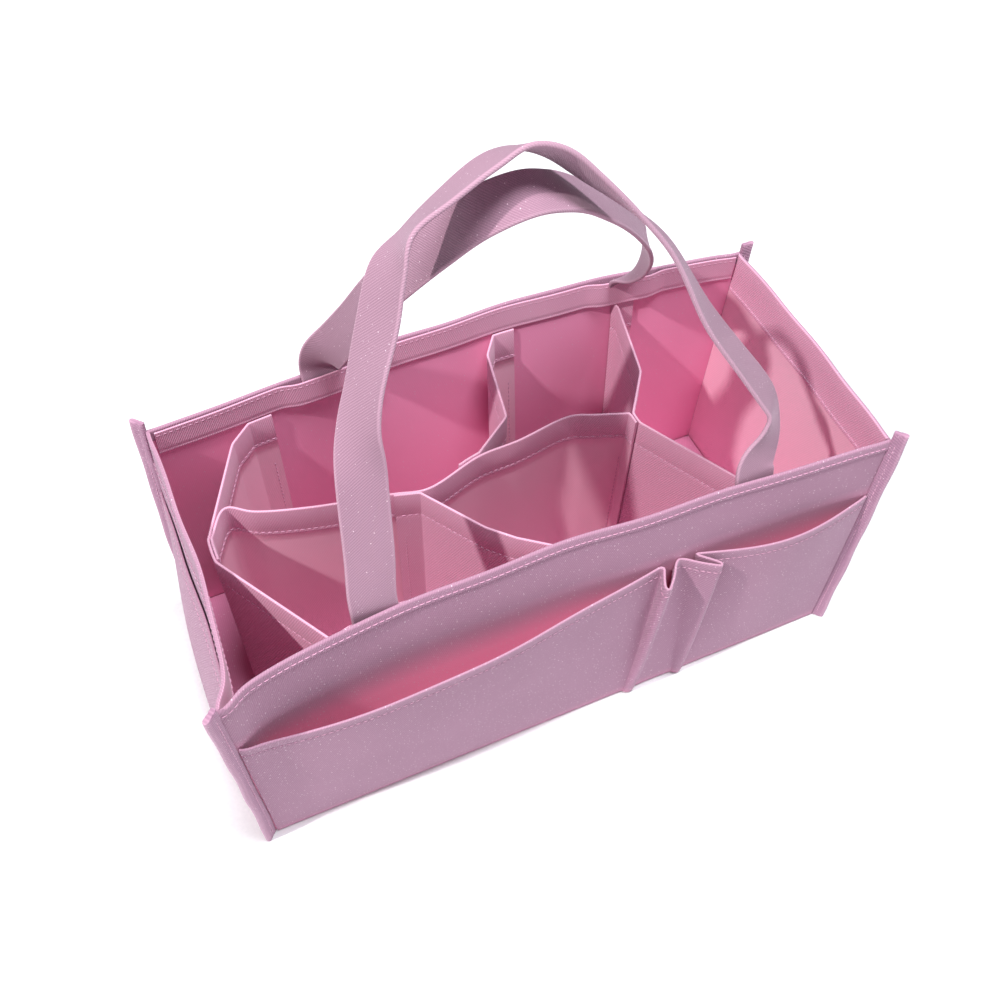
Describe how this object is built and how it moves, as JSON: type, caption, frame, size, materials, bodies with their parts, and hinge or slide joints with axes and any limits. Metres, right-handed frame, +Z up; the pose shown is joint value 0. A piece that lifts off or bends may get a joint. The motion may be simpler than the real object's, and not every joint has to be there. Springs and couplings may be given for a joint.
{
  "type": "diaper bag organizer insert",
  "caption": "Open cloth organizer box with cloth dividers inside, open slip pockets on its sides and carrying handles that swing outwards.",
  "frame": {"origin": "centre of the base's underside", "axes": "+X along the length to the right as seen from the front, -Y out of the front with the pleated pocket strip seen in the picture, +Z up"},
  "size_m": [0.3537, 0.1882, 0.3061],
  "materials": {
    "outer_cloth": "pink coated twill cloth",
    "divider_cloth": "pink coated twill cloth",
    "seam_tape": "pink twill seam tape",
    "handle_strap": "pink folded twill strap",
    "base_board": "grey plastic board inside the base"
  },
  "bodies": {
    "organizer": {"front_panel": "outer_cloth", "back_panel": "outer_cloth", "left_end_panel": "outer_cloth", "right_end_panel": "outer_cloth", "base_panel": "outer_cloth", "base_board": "base_board", "base_lining": "divider_cloth", "front_left_corner_tape": "seam_tape", "front_right_corner_tape": "seam_tape", "back_left_corner_tape": "seam_tape", "back_right_corner_tape": "seam_tape", "front_pocket": "outer_cloth", "back_pocket": "outer_cloth", "left_end_pocket": "outer_cloth", "right_end_pocket": "outer_cloth", "left_cross_divider": "divider_cloth", "right_cross_divider": "divider_cloth", "long_divider": "divider_cloth", "middle_back_divider": "divider_cloth", "middle_front_divider": "divider_cloth", "front_handle_left_end": "handle_strap", "front_handle_right_end": "handle_strap", "back_handle_left_end": "handle_strap", "back_handle_right_end": "handle_strap"},
    "front_handle": {"front_handle_strap": "handle_strap"},
    "back_handle": {"back_handle_strap": "handle_strap"}
  },
  "joints": [
    {"name": "front_handle_swing", "type": "hinge", "parent": "organizer", "child": "front_handle", "pos_m": [-0.0005, -0.0637, 0.1533], "axis": [1, 0, 0], "range_deg": [0, 175]},
    {"name": "back_handle_swing", "type": "hinge", "parent": "organizer", "child": "back_handle", "pos_m": [0.015, 0.084, 0.1533], "axis": [-1, 0, 0], "range_deg": [0, 160]}
  ]
}
